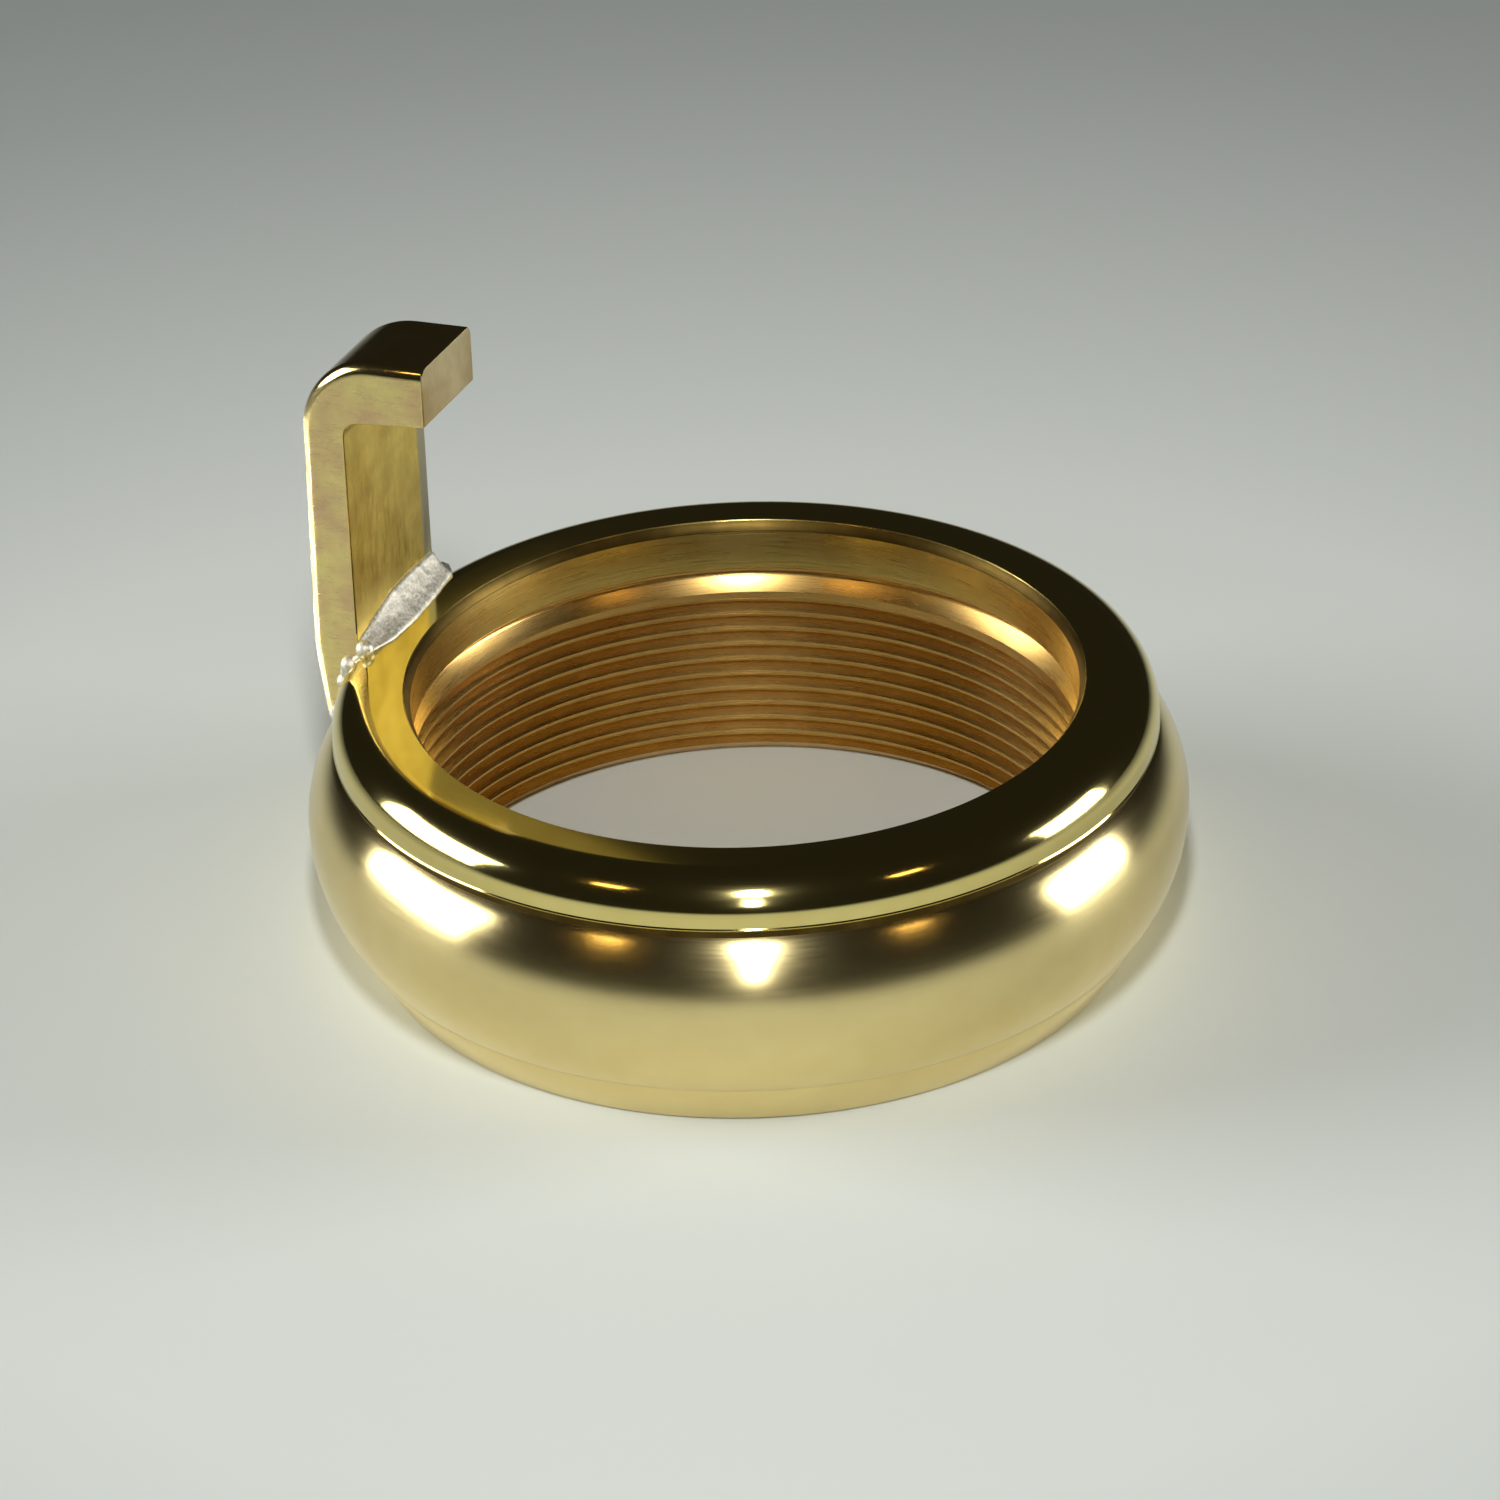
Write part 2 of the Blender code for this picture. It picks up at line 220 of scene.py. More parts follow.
def ring_inside():
    """(radius, height) points from the bottom face up to the top face."""
    relief = arc((RELIEF_RADIUS - 0.30, THREAD_TOP + 0.62), 0.30, -38, 60, 8)
    return [
        (ENTRY_RADIUS, 0.0),
        (CREST_RADIUS, ENTRY_RADIUS - CREST_RADIUS),
        (CREST_RADIUS, THREAD_TOP - LIP_LINE),
        (CREST_RADIUS + 0.05, THREAD_TOP + 0.03),
        *relief,
        (BORE_RADIUS + 0.03, LIP_BOTTOM - LIP_LINE),
        (BORE_RADIUS, LIP_BOTTOM + LIP_LINE),
        (BORE_RADIUS, RING_TOP - MOUTH_DEPTH - LIP_LINE),
        (BORE_RADIUS + 0.012, RING_TOP - MOUTH_DEPTH + LIP_LINE),
        (BORE_RADIUS + MOUTH_CHAMFER - 0.01, RING_TOP - 0.03),
        (BORE_RADIUS + MOUTH_CHAMFER + 0.03, RING_TOP),
    ]


def make_tap():
    """The thread's groove as a solid: one closed edge, screwed round the axis and capped at both ends."""
    put_down()
    flank = tan(radians(THREAD_FLANK))
    crest = ROOT_HALF + (ROOT_RADIUS - CREST_RADIUS) * flank
    half = [(ROOT_RADIUS, ROOT_HALF), (CREST_RADIUS + CREST_BREAK, crest - CREST_BREAK * flank)]
    half += [(CREST_RADIUS + 0.006, crest + 0.004), (CREST_RADIUS - TAP_OVERCUT, crest + 0.02)]
    side = [(r, -z) for r, z in reversed(half)] + half
    start = -(THREAD_START + 1.0) * PITCH
    bpy.ops.mesh.primitive_circle_add(vertices=3, radius=MM)
    tap = named("tap")
    take_up(tap)
    bpy.ops.mesh.select_all(action="SELECT")
    bpy.ops.mesh.merge(type="CENTER")
    bpy.ops.transform.translate(value=(side[0][0] * MM, 0, (start + side[0][1]) * MM))
    for (r0, z0), (r1, z1) in zip(side, side[1:]):
        step = ((r1 - r0) * MM, 0, (z1 - z0) * MM)
        bpy.ops.mesh.extrude_vertices_move(TRANSFORM_OT_translate={"value": step})
    bpy.ops.mesh.select_all(action="SELECT")
    bpy.ops.mesh.edge_face_add()
    bpy.ops.mesh.delete(type="ONLY_FACE")
    turns = int((THREAD_TOP + 0.35 - start) / PITCH)
    apply(tap, "SCREW", axis="Z", angle=2 * pi, screw_offset=PITCH * MM, iterations=turns, steps=RING_SIDES,
          render_steps=RING_SIDES, use_merge_vertices=False, use_smooth_shade=False)
    take_up(tap, "EDGE")
    bpy.ops.mesh.select_non_manifold()
    bpy.ops.mesh.fill_holes(sides=0)
    make_outward(tap)
    return tap


def make_ring():
    ring = turn("lock_ring", ring_outside() + ring_inside())
    subtract(ring, make_tap())
    return ring


# ---------------------------------------------------------------- hook
LEG_INSIDE = LEG_OUTSIDE - 1.90
LEG_LEAN = 0.20  # the leg's outer face leans in by this much up to the bend
FOOT_TAPER = 0.30
KNEE = 9.80  # height where the foot's taper ends
ARM_UNDERSIDE = HOOK_TOP - 2.55
ARM_RISE = 0.32
ARM_TOP_SLOPE = 0.18
ARM_FAR_SIDE = HOOK_NEAR + 4.15
ARM_CUT_TOP, ARM_CUT_BOTTOM = ARM_UNDERSIDE - 0.65, ARM_UNDERSIDE - 2.10
BEND = 2.90
INNER_BEND = 0.55
FILM = 0.03
RIM = 0.46  # polished rounding along the near outer edge
FAR_ROUND = 0.40  # rounding along the far outer edge, arm, slope and leg
SMALL_EDGE = 0.09


def hook_block():
    """A cube for the foot, extruded up the leg and then over to the arm's end."""
    put_down()
    size = (LEG_OUTSIDE - LEG_INSIDE, HOOK_FAR - HOOK_NEAR, KNEE - FOOT_BOTTOM)
    middle = (-(LEG_OUTSIDE + LEG_INSIDE) / 2, (HOOK_FAR + HOOK_NEAR) / 2, (KNEE + FOOT_BOTTOM) / 2)
    bpy.ops.mesh.primitive_cube_add(size=1.0, location=Vector(middle) * MM, scale=Vector(size) * MM)
    hook = named("hook_strip")
    take_up(hook)
    pick(hook, "verts", lambda p: p.z < FOOT_BOTTOM + 0.1 and p.x < -LEG_INSIDE - 0.5)
    bpy.ops.transform.translate(value=(FOOT_TAPER * MM, 0, 0))
    bpy.ops.mesh.select_mode(type="FACE")
    pick(hook, "faces", lambda p, n: n.z > 0.9)
    for low, high in ((KNEE, ARM_UNDERSIDE), (ARM_UNDERSIDE, HOOK_TOP - ARM_TOP_SLOPE)):
        step = (0, 0, (high - low) * MM)
        bpy.ops.mesh.extrude_region_move(TRANSFORM_OT_translate={"value": step})
    pick(hook, "faces", lambda p, n: n.x > 0.9 and p.z > ARM_UNDERSIDE)
    reach = (LEG_INSIDE - ARM_END) * MM
    bpy.ops.mesh.extrude_region_move(TRANSFORM_OT_translate={"value": (reach, 0, 0)})
    bpy.ops.mesh.select_mode(type="VERT")
    pick(hook, "verts", lambda p: p.x > -ARM_END - 0.1 and p.z < ARM_UNDERSIDE + 0.5)
    bpy.ops.transform.translate(value=(0, 0, ARM_RISE * MM))
    pick(hook, "verts", lambda p: p.x > -ARM_END - 0.1 and p.z > HOOK_TOP - 0.5)
    bpy.ops.transform.translate(value=(0, 0, ARM_TOP_SLOPE * MM))
    pick(hook, "verts", lambda p: p.x < -LEG_OUTSIDE + 0.1 and p.z > ARM_UNDERSIDE - 0.5)
    bpy.ops.transform.translate(value=(LEG_LEAN * MM, 0, 0))
    return hook


def narrow_arm(hook):
    """Cut the arm back on the far side, with a slope down to the leg's full width."""
    put_down()
    low, high = ARM_CUT_BOTTOM, HOOK_TOP + 2.0
    rise = ARM_CUT_TOP - ARM_CUT_BOTTOM
    size = (LEG_OUTSIDE + 4.0, 4.0, high - low)
    middle = (-LEG_OUTSIDE / 2 - 1.0, ARM_FAR_SIDE + 2.0, (high + low) / 2)
    bpy.ops.mesh.primitive_cube_add(size=1.0, location=Vector(middle) * MM, scale=Vector(size) * MM)
    block = named("arm_cut")
    take_up(block)
    pick(block, "verts", lambda p: p.z < low + 0.1 and p.y < ARM_FAR_SIDE + 0.1)
    bpy.ops.transform.translate(value=(0, 0, rise * MM))
    pick(block, "verts", lambda p: p.z < low + 0.1)
    slope = rise / (HOOK_FAR - ARM_FAR_SIDE)
    bpy.ops.transform.translate(value=(0, 0, (rise - 4.0 * slope) * MM))
    put_down()
    subtract(hook, block)


def pick_edges(piece, test):
    """Select the edges whose two ends, in mm, pass the test together."""
    bm = bmesh.from_edit_mesh(piece.data)
    for edge in bm.edges:
        edge.select = test(*(v.co / MM for v in edge.verts))
    bmesh.update_edit_mesh(piece.data)


def across(a, b):
    """The edge runs across the strip."""
    return abs(a.y - b.y) > 0.5 * (a - b).length


def bend_strip(hook):
    """Round the outer and the inner corner of the bend."""
    take_up(hook, "EDGE")
    bpy.ops.mesh.select_all(action="SELECT")
    bpy.ops.mesh.dissolve_limited(angle_limit=radians(5.0))
    pick_edges(hook, lambda a, b: across(a, b) and max(a.x, b.x) < -LEG_INSIDE - 0.5
               and min(a.z, b.z) > HOOK_TOP - 0.6)
    bpy.ops.mesh.bevel(offset=BEND * MM, segments=24, profile=0.5, affect="EDGES")
    pick_edges(hook, lambda a, b: across(a, b) and abs((a + b).x / 2 + LEG_INSIDE) < 0.05
               and abs((a + b).z / 2 - ARM_UNDERSIDE) < 0.3)
    bpy.ops.mesh.bevel(offset=INNER_BEND * MM, segments=8, profile=0.5, affect="EDGES")
    put_down()


def on_outer_line(p, low, high):
    """The point lies on the strip's outer line, between these places across it."""
    x, z = p.x + LEG_OUTSIDE - LEG_LEAN - BEND, p.z - HOOK_TOP + ARM_TOP_SLOPE + BEND
    if x < 0 and z > 0:
        outside = hypot(x, z) > BEND - 0.3
    else:
        outside = p.x < -LEG_OUTSIDE + 0.6 or p.z > HOOK_TOP - 0.6
    return low - 0.01 < p.y < high + 0.01 and outside


def round_edges(hook):
    """Round the long edges: wide along the outer lines, fine elsewhere."""
    for low, high, size in ((HOOK_NEAR, HOOK_NEAR, RIM), (ARM_FAR_SIDE, HOOK_FAR, FAR_ROUND)):
        take_up(hook, "EDGE")
        pick_edges(hook, lambda a, b: on_outer_line(a, low, high) and on_outer_line(b, low, high)
                   and abs(a.z - b.z) + abs(a.x - b.x) > 0.05
                   and max(a.z, b.z) > FOOT_BOTTOM + 0.1 and min(a.x, b.x) < -ARM_END - 0.05)
        bpy.ops.mesh.bevel(offset=size * MM, segments=8, profile=0.5, affect="EDGES")
    bpy.ops.mesh.select_all(action="DESELECT")
    bpy.ops.mesh.edges_select_sharp(sharpness=radians(50.0))
    bpy.ops.mesh.bevel(offset=SMALL_EDGE * MM, segments=3, profile=0.5, affect="EDGES")
    put_down()


def seat_hook(hook):
    """Hollow the foot to sit over the shoulder and the top of the barrel."""
    outline = ring_outside(FILM) + [(10.0, 0.0), (10.0, RING_TOP + FILM)]
    subtract(hook, turn("foot_cut", outline))
    return hook


def make_hook():
    hook = hook_block()
    bend_strip(hook)
    narrow_arm(hook)
    round_edges(hook)
    seat_hook(hook)
    return hook


# ---------------------------------------------------------------- silver solder
FILLET_DEPTH = 0.50  # how far the solder reaches into the joint, out of sight
FILLET_WRAP = 0.80  # how far it runs on round the leg's far side
FILLET_STATIONS = (  # (place across the leg, reach over the flat, height up the leg)
    (HOOK_NEAR + 0.02, 0.50, 0.34),
    (HOOK_NEAR + 1.15, 0.95, 0.70),
    (HOOK_NEAR + 2.80, 1.06, 1.10),
    (HOOK_FAR - 1.90, 0.98, 1.12),
    (HOOK_FAR, 0.78, 0.98),
    (HOOK_FAR + 0.12, 0.74, 0.45),
    (HOOK_FAR + 0.32, 0.62, 0.17),
    (HOOK_FAR + FILLET_WRAP, 0.25, 0.03),
)
SOLDER_VOXEL = 0.04
FRONT_DROPS = ((10.00, 0.34), (9.25, 0.36), (8.55, 0.31), (7.42, 0.30), (7.05, 0.28))  # (height, size)


def roughen(piece, size, strength):
    """Push the surface in and out with a cloud pattern of this grain size, in mm."""
    clouds = bpy.data.textures.new(piece.name + "_grain", "CLOUDS")
    clouds.noise_scale = size * MM
    clouds.noise_depth = 2
    apply(piece, "DISPLACE", texture=clouds, strength=strength * MM, mid_level=0.5,
          direction="NORMAL", texture_coords="LOCAL")


def fillet_size(y):
    """The fillet's reach and height at this place across the leg."""
    for (y0, *low), (y1, *high) in zip(FILLET_STATIONS, FILLET_STATIONS[1:]):
        if y <= y1 + 0.001:
            share = (y - y0) / (y1 - y0)
            return [a + (b - a) * share for a, b in zip(low, high)]


def make_inner_fillet():
    """A block in the corner of leg and top face, hollowed by a bevel and drawn in to each section's size."""
    put_down()
    near, far, cuts = FILLET_STATIONS[0][0], FILLET_STATIONS[-1][0], 71
    low = Vector((-LEG_INSIDE - FILLET_DEPTH, near, RING_TOP - FILLET_DEPTH))
    high = Vector((-LEG_INSIDE + 1.0, far, RING_TOP + 1.0))
    bpy.ops.mesh.primitive_cube_add(size=1.0, location=(low + high) / 2 * MM, scale=(high - low) * MM)
    fillet = named("solder_inner")
    take_up(fillet, "EDGE")
    pick_edges(fillet, lambda a, b: min(a.x, b.x) > high.x - 0.01 and min(a.z, b.z) > high.z - 0.01)
    bpy.ops.mesh.bevel(offset=0.97 * MM, segments=14, profile=0.19, affect="EDGES")
    pick_edges(fillet, lambda a, b: abs(a.y - b.y) > 1.0)
    bpy.ops.mesh.subdivide(number_cuts=cuts)
    bpy.ops.mesh.select_mode(type="VERT")
    for i in range(cuts + 2):
        y = near + (far - near) * i / (cuts + 1)
        reach, height = fillet_size(y)
        pick(fillet, "verts", lambda p: abs(p.y - y) < 0.01)
        middle = (-LEG_INSIDE * MM, y * MM, RING_TOP * MM)
        bpy.ops.transform.resize(value=(reach, 1, height), center_override=middle)
    put_down()
    apply(fillet, "SMOOTH", factor=0.5, iterations=5)
    roughen(fillet, 0.35, 0.05)
    make_outward(fillet)
    return fillet


def blobs(name, places):
    """Balls of solder that have run together; each place is a point and a radius in mm."""
    put_down()
    balls = []
    for (x, y, z), radius in places:
        place = (x * MM, y * MM, z * MM)
        bpy.ops.mesh.primitive_ico_sphere_add(subdivisions=3, radius=radius * MM, location=place)
        balls.append(named(name))
    for ball in balls:
        ball.select_set(True)
    bpy.context.view_layer.objects.active = balls[0]
    bpy.ops.object.join()
    piece = bpy.context.object
    piece.name = piece.data.name = name
    apply(piece, "REMESH", mode="VOXEL", voxel_size=SOLDER_VOXEL * MM)
    apply(piece, "SMOOTH", factor=0.5, iterations=6)
    make_outward(piece)
    return piece


def over_shoulder(y):
    """(distance out, height) points over the shoulder and wall in a plane beside the foot."""
    for r, z in ring_outside(steps=10):
        reach = sqrt(r**2 - y**2)
        if reach > LEG_INSIDE - 0.45 and z > FOOT_BOTTOM:
            yield reach, z


def side_run(name, y, sizes, drops, rng):
    """A run of solder down one side of the foot, with drops (height, size) standing on it."""
    line = list(over_shoulder(y))
    places = []
    for height, size in drops:
        reach = min(line, key=lambda place: abs(place[1] - height))[0]
        places.append(((-reach - 0.02, y, height), size))
    for reach, z in line:
        size = rng.uniform(*sizes)
        places.append(((-reach + rng.uniform(-0.04, 0.04), y, z + rng.uniform(-0.04, 0.04)), size))
    return blobs(name, places)


def outer_run(name, rng):
    """The line of solder under the foot's outer edge."""
    places = []
    for i in range(30):
        y = HOOK_NEAR + 0.1 + (HOOK_FAR - HOOK_NEAR - 0.2) * i / 29
        r = BARREL_RADIUS - 0.42
        z = FOOT_BOTTOM - 0.02 + rng.uniform(-0.03, 0.03)
        places.append(((-sqrt(r**2 - y**2), y, z), rng.uniform(0.13, 0.20)))
    return blobs(name, places)


# ---------------------------------------------------------------- materials
def colour(code):
    """Linear RGBA of an sRGB hex value."""
    channels = [int(code[i : i + 2], 16) / 255 for i in (0, 2, 4)]
    return (*[c / 12.92 if c <= 0.04045 else ((c + 0.055) / 1.055) ** 2.4 for c in channels], 1.0)


def node(tree, kind, settings=None, **inputs):
    """Add a node. Inputs are constants or the sockets that feed them; in_3 stands for input number 3."""
    new = tree.nodes.new(kind)
    for key, value in (settings or {}).items():
        if key == "ramp":
            for element, (place, shade) in zip(new.color_ramp.elements, value):
                element.position, element.color = place, shade
            for place, shade in value[2:]:
                new.color_ramp.elements.new(place).color = shade
        else:
            setattr(new, key, value)
    for key, value in inputs.items():
        key = int(key[3:]) if key.startswith("in_") else key.replace("_", " ")
        if isinstance(value, bpy.types.NodeSocket):
            tree.links.new(value, new.inputs[key])
        else:
            new.inputs[key].default_value = value
    return new


def new_material(name):
    """An empty node material; returns it, its tree and its Principled shader."""
    mat = bpy.data.materials.new(name)
    mat.use_nodes = True
    return mat, mat.node_tree, mat.node_tree.nodes["Principled BSDF"]


def maths(tree, operation, a, b):
    return node(tree, "ShaderNodeMath", {"operation": operation}, in_0=a, in_1=b).outputs[0]


def place_mm(tree):
    """Object coordinates in mm, with the distance from the ring's axis."""
    coords = node(tree, "ShaderNodeTexCoord").outputs["Object"]
    mm = node(tree, "ShaderNodeVectorMath", {"operation": "SCALE"}, in_0=coords, Scale=1.0 / MM).outputs[0]
    flat = node(tree, "ShaderNodeVectorMath", {"operation": "MULTIPLY"}, in_0=mm, in_1=(1, 1, 0)).outputs[0]
    out = node(tree, "ShaderNodeVectorMath", {"operation": "LENGTH"}, in_0=flat).outputs["Value"]
    split = node(tree, "ShaderNodeSeparateXYZ", Vector=mm)
    return mm, split.outputs, out


def turned_brass(name, base, dark, roughness, line, depth, anisotropic):
    """Yellow brass off the lathe: tool lines run round the axis, so a light smears across them."""
    mat, tree, shader = new_material(name)
    mm, xyz, out = place_mm(tree)
    angle = maths(tree, "ARCTAN2", xyz["Y"], xyz["X"])
    wrap = node(tree, "ShaderNodeCombineXYZ", X=out, Y=maths(tree, "MULTIPLY", angle, 0.35), Z=xyz["Z"])
    lines = node(tree, "ShaderNodeTexNoise", {"noise_dimensions": "3D"}, Vector=wrap.outputs[0],
                 Scale=1.0 / line, Detail=3.0, Roughness=0.6)
    cloud = node(tree, "ShaderNodeTexNoise", Vector=mm, Scale=0.9, Detail=4.0)
    tone = node(tree, "ShaderNodeMix", {"data_type": "RGBA"}, in_0=cloud.outputs["Fac"],
                in_6=colour(base), in_7=colour(dark))
    tree.links.new(tone.outputs[2], shader.inputs["Base Color"])
    rough = node(tree, "ShaderNodeMapRange", Value=lines.outputs["Fac"], in_1=0.3, in_2=0.7,
                 in_3=roughness * 0.92, in_4=roughness * 1.1)
    tree.links.new(rough.outputs[0], shader.inputs["Roughness"])
    bump = node(tree, "ShaderNodeBump", Strength=1.0, Distance=depth * MM, Height=lines.outputs["Fac"])
    tree.links.new(bump.outputs[0], shader.inputs["Normal"])
    shader.inputs["Metallic"].default_value = 1.0
    shader.inputs["Anisotropic"].default_value = anisotropic
    shader.inputs["Anisotropic Rotation"].default_value = 0.25
    return mat


def filed_brass(name, base, dark, roughness, grain, depth, bloom=100.0):
    """Brass strip worked by hand. Grain holds lines per mm along X, Y and Z: scratches run the low way.
    Past the bloom's place on Y the heat of soldering has left it grey.
    """
    mat, tree, shader = new_material(name)
    mm, xyz = place_mm(tree)[:2]
    stretched = node(tree, "ShaderNodeVectorMath", {"operation": "MULTIPLY"}, in_0=mm, in_1=grain)
    scratch = node(tree, "ShaderNodeTexNoise", Vector=stretched.outputs[0], Scale=1.0,
                   Detail=6.0, Roughness=0.65)
    cloud = node(tree, "ShaderNodeTexNoise", Vector=mm, Scale=0.7, Detail=5.0)
    mottle = node(tree, "ShaderNodeMapRange", Value=cloud.outputs["Fac"], in_1=0.35, in_2=0.65)
    tone = node(tree, "ShaderNodeMix", {"data_type": "RGBA"}, in_0=mottle.outputs[0],
                in_6=colour(base), in_7=colour(dark))
    reach = maths(tree, "ADD", xyz["Y"], maths(tree, "MULTIPLY", scratch.outputs["Fac"], 0.5))
    grey = node(tree, "ShaderNodeMapRange", Value=reach, in_1=bloom, in_2=bloom + 0.25)
    tone = node(tree, "ShaderNodeMix", {"data_type": "RGBA"}, in_0=grey.outputs[0],
                in_6=tone.outputs[2], in_7=colour("a8a48c"))
    tree.links.new(tone.outputs[2], shader.inputs["Base Color"])
    rough = node(tree, "ShaderNodeMapRange", Value=scratch.outputs["Fac"], in_1=0.3, in_2=0.7,
                 in_3=roughness * 0.8, in_4=roughness * 1.25)
    tree.links.new(rough.outputs[0], shader.inputs["Roughness"])
    bump = node(tree, "ShaderNodeBump", Strength=0.6, Distance=depth * MM, Height=scratch.outputs["Fac"])
    tree.links.new(bump.outputs[0], shader.inputs["Normal"])
    shader.inputs["Metallic"].default_value = 1.0
    return mat


def silver_solder():
    """Silver solder left as it froze: pale grey, grainy, with dull specks."""
    mat, tree, shader = new_material("silver_solder_as_run")
    mm = place_mm(tree)[0]
    grain = node(tree, "ShaderNodeTexNoise", Vector=mm, Scale=9.0, Detail=5.0, Roughness=0.7)
    tone = node(tree, "ShaderNodeValToRGB", {"ramp": [(0.30, colour("b4b0a0")), (0.62, colour("f0ecde"))]},
                Fac=grain.outputs["Fac"])
    tree.links.new(tone.outputs[0], shader.inputs["Base Color"])
    rough = node(tree, "ShaderNodeMapRange", Value=grain.outputs["Fac"], in_1=0.3, in_2=0.7,
                 in_3=0.46, in_4=0.64)
    tree.links.new(rough.outputs[0], shader.inputs["Roughness"])
    bump = node(tree, "ShaderNodeBump", Strength=0.7, Distance=0.02 * MM, Height=grain.outputs["Fac"])
    tree.links.new(bump.outputs[0], shader.inputs["Normal"])
    shader.inputs["Metallic"].default_value = 1.0
    return mat


PAINTED_LIGHT_FALL = 200.0  # mm over which the painted pool of light on the paper fades away from the ring


def paper():
    """Matt white paper: soft fibres, no gloss. Its colour holds a painted pool of light, lighter near the
    ring and darker away from it.
    """
    mat, tree, shader = new_material("matt_paper_painted_light")
    coords = node(tree, "ShaderNodeTexCoord").outputs["Object"]
    fibre = node(tree, "ShaderNodeTexNoise", Vector=coords, Scale=900.0, Detail=4.0)
    away = node(tree, "ShaderNodeVectorMath", {"operation": "LENGTH"}, in_0=coords).outputs["Value"]
    # painted light: the paper's colour darkens with distance from the ring, standing in for the lamps'
    # falloff
    painted_light_tones = ((0.18, "dfe5e0"), (0.40, "b2b8b5"), (0.60, "8c9294"), (1.0, "7c8182"))
    ramp = [(place, colour(code)) for place, code in painted_light_tones]
    painted_light_fall = node(tree, "ShaderNodeValToRGB", {"ramp": ramp}, Fac=maths(tree, "DIVIDE", away, PAINTED_LIGHT_FALL * MM))
    tree.links.new(painted_light_fall.outputs[0], shader.inputs["Base Color"])
    bump = node(tree, "ShaderNodeBump", Strength=0.25, Distance=0.03 * MM, Height=fibre.outputs["Fac"])
    tree.links.new(bump.outputs[0], shader.inputs["Normal"])
    shader.inputs["Roughness"].default_value = 0.9
    shader.inputs["Specular IOR Level"].default_value = 0.2
    return mat


def finish_zones(ring):
    """Give each turned stretch its own finish, by its place. Zone 4, the mouth chamfer and the groove under
    the wall, gets near-black brass as painted shade.
    """
    take_up(ring, "FACE")
    zones = (
        (1, lambda p, n: p.z < WALL_BOTTOM - 0.25 and hypot(p.x, p.y) > FOOT_RADIUS - 0.2),
        (2, lambda p, n: hypot(p.x, p.y) < BORE_RADIUS + MOUTH_CHAMFER + 0.02 and p.z > LIP_BOTTOM),
        (3, lambda p, n: hypot(p.x, p.y) < RELIEF_RADIUS + 0.1 and p.z <= LIP_BOTTOM),
        # zone 4 is painted shade: the mouth chamfer and the groove under the wall get near-black brass
        (4, lambda p, n: hypot(p.x, p.y) < BORE_RADIUS + MOUTH_CHAMFER and p.z > RING_TOP - MOUTH_DEPTH),
        (4, lambda p, n: WALL_BOTTOM - 0.3 < p.z < WALL_BOTTOM
         and RELIEF_RADIUS + 1 < hypot(p.x, p.y) < WALL_RADIUS - 0.06),
    )
    for index, test in zones:
        pick(ring, "faces", test)
        ring.active_material_index = index
        bpy.ops.object.material_slot_assign()
    put_down()


def hook_finishes(hook):
    """Near face filed, inner faces brushed, tip as sawn; the outer faces and the roundings stay polished."""
    take_up(hook, "FACE")
    zones = (
        (1, lambda p, n: n.y < -0.97),
        (2, lambda p, n: n.x > 0.9 or n.z < -0.5 or n.y > 0.97),
        (3, lambda p, n: n.x > 0.7 and p.x > -ARM_END - 0.2),
    )
    for index, test in zones:
        pick(hook, "faces", test)
        hook.active_material_index = index
        bpy.ops.object.material_slot_assign()
    put_down()


def smooth(piece, angle=30.0):
    put_down()
    bpy.context.view_layer.objects.active = piece
    piece.select_set(True)
    bpy.ops.object.shade_smooth_by_angle(angle=radians(angle))


# ---------------------------------------------------------------- the object
rng = random.Random(7)
ring = make_ring()
smooth(ring)
hook = make_hook()
smooth(hook)
apply(hook, "WEIGHTED_NORMAL", keep_sharp=True)
inner = make_inner_fillet()
front = side_run("solder_front", HOOK_NEAR - 0.04, (0.15, 0.27), FRONT_DROPS, rng)
back = side_run("solder_back", HOOK_FAR + 0.04, (0.28, 0.40), (), rng)
outer = outer_run("solder_outer", rng)
for piece in (inner, front, back, outer):
    smooth(piece, 60.0)

shoulder_brass = turned_brass("polished_brass", "e8d890", "dcc87a", 0.10, 0.05, 0.0003, 0.60)
barrel_brass = turned_brass("buffed_brass", "ecda9c", "e2cc8e", 0.20, 0.05, 0.0003, 0.80)
lip_brass = turned_brass("bored_brass", "e2cc7c", "ccb260", 0.28, 0.10, 0.0110, 0.5)
thread_brass = turned_brass("chased_brass", "dcb870", "c89e56", 0.28, 0.05, 0.0002, 0.3)
# painted shade: the near-black colours stand in for shade in the mouth chamfer and the groove; the roughness
# and tool lines are the real unpolished finish
painted_shade_brass = turned_brass("unpolished_brass_painted_shade", "6a5628", "2e2410", 0.40, 0.08, 0.0060, 0.3)
for mat in (shoulder_brass, barrel_brass, lip_brass, thread_brass, painted_shade_brass):
    ring.data.materials.append(mat)


finish_zones(ring)
hook.data.materials.clear()
hook.data.materials.append(filed_brass("polished_strip", "e4cf90", "d8c07c", 0.14, (9.0, 1.5, 9.0), 0.002))
hook.data.materials.append(filed_brass("filed_brass", "e6d48a", "d4b486", 0.29, (1.2, 9.0, 9.0), 0.012))
hook.data.materials.append(filed_brass("brushed_strip", "e6d070", "c8b054", 0.42, (9.0, 9.0, 1.2), 0.030,
                                       HOOK_FAR - 0.55))
hook.data.materials.append(filed_brass("sawn_strip", "d4c498", "b8a478", 0.40, (4.0, 9.0, 2.0), 0.040))
hook_finishes(hook)
solder = silver_solder()
for piece in (inner, front, back, outer):
    piece.data.materials.clear()
    piece.data.materials.append(solder)

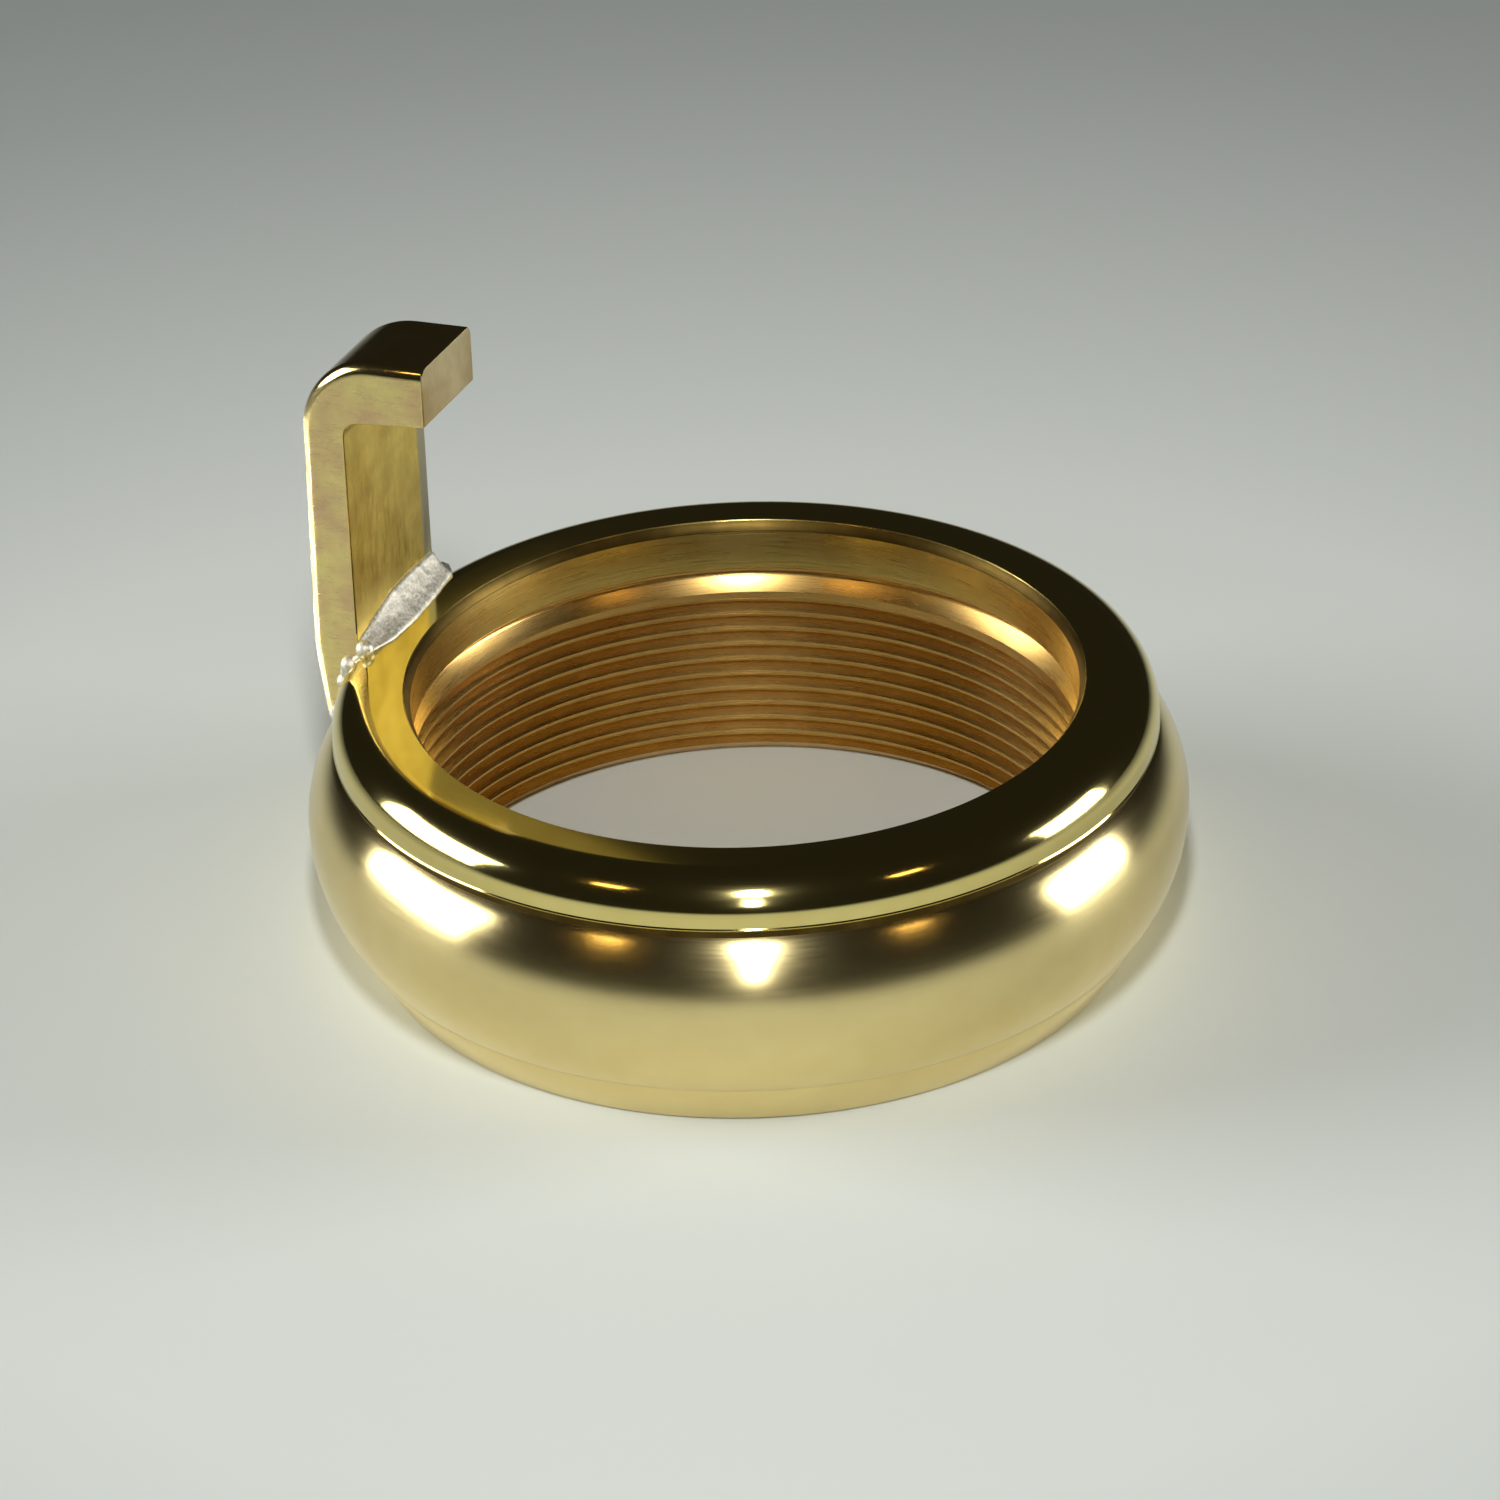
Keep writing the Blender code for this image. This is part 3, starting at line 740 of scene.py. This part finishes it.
for piece, cad, slot in (
    (ring, "threaded_ring", "polished_brass"),
    (hook, "hook", "filed_brass"),
    (inner, "solder_inner_fillet", "silver_solder"),
    (front, "solder_front_bead", "silver_solder"),
    (back, "solder_back_bead", "silver_solder"),
    (outer, "solder_outer_bead", "silver_solder"),
):
    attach(piece, "root")
    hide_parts(cad)

# ---------------------------------------------------------------- floor, lights, camera
VIEW_TURN = 23.6  # the view is turned this far about Z from looking along +Y
CAMERA_AWAY, CAMERA_HEIGHT = 192.74, 114.94  # mm from the ring's axis and above its bottom face


def placed(azimuth, elevation, distance):
    """A point this far from the ring; azimuth 0 is the camera's side, 90 its right."""
    a, e, turn = radians(azimuth), radians(elevation), radians(VIEW_TURN)
    x, y = sin(a) * cos(e), -cos(a) * cos(e)
    way = Vector((x * cos(turn) - y * sin(turn), x * sin(turn) + y * cos(turn), sin(e)))
    return way * distance * MM


def lamp(name, azimuth, elevation, distance, size, watts, shade="ffffff", spread=180.0, only=()):
    """A soft rectangular lamp that faces the ring; distance and size in mm.
    Where only is given, it lights those pieces alone. A lamp below the floor's level is sampled from the
    lamp's side only, because the floor would stop the rays that the metal sends to it.
    """
    data = bpy.data.lights.new(name, "AREA")
    data.spread = radians(spread)
    data.shape, data.size, data.size_y = "RECTANGLE", size[0] * MM, size[1] * MM
    data.energy, data.color = watts, colour(shade)[:3]
    light = bpy.data.objects.new(name, data)
    bpy.context.scene.collection.objects.link(light)
    light.location = placed(azimuth, elevation, distance)
    aim = -light.location
    light.rotation_euler = aim.to_track_quat("-Z", "Y").to_euler()
    light.visible_camera = False
    data.cycles.use_multiple_importance_sampling = elevation > 0
    if only:
        group = bpy.data.collections.new(name + "_pieces")
        for piece in only:
            group.objects.link(piece)
        light.light_linking.receiver_collection = group
        light.light_linking.blocker_collection = group


put_down()
bpy.ops.mesh.primitive_plane_add(size=4.0)
floor = named("floor")
floor.data.materials.append(paper())

lamp("left_softbox", -94, 20, 500, (320, 250), 2.0)
lamp("right_softbox", 94, 14, 500, (210, 190), 1.5)
lamp("front_lamp", 0, 50, 221, (14, 44), 0.095, spread=120.0)
lamp("front_glow", 0, 28, 221, (13, 60), 0.020, spread=120.0, only=(ring,))
lamp("warm_left", -46, 48, 500, (60, 36), 0.045, "ffd488")
lamp("warm_right", 50, 47, 500, (60, 36), 0.045, "ffd488")
lamp("back_glow", -172, 33, 600, (100, 90), 0.007, "ffe890", only=(ring,))
lamp("hook_kicker", -112, -28, 200, (270, 90), 0.24, only=(hook,))

world = bpy.data.worlds.new("dim_room")
world.use_nodes = True
world.node_tree.nodes["Background"].inputs["Color"].default_value = colour("38362e")
world.node_tree.nodes["Background"].inputs["Strength"].default_value = 0.42
bpy.context.scene.world = world
bpy.context.scene.view_settings.view_transform = "Standard"

camera_data = bpy.data.cameras.new("camera")
camera_data.lens = 148.265
camera_data.sensor_width = 36.0
camera_data.clip_start, camera_data.clip_end = 0.01, 20.0
camera = bpy.data.objects.new("camera", camera_data)
bpy.context.scene.collection.objects.link(camera)
turn_z = Matrix.Rotation(radians(VIEW_TURN - 0.032), 4, "Z")
tilt = Matrix.Rotation(radians(90.0 - 29.283), 4, "X")
roll = Matrix.Rotation(radians(-2.03), 4, "Z")
distance = hypot(CAMERA_AWAY, CAMERA_HEIGHT)
stand = Matrix.Translation(placed(0, degrees(asin(CAMERA_HEIGHT / distance)), distance))
camera.matrix_world = stand @ turn_z @ tilt @ roll
bpy.context.scene.camera = camera

bpy.context.view_layer.update()
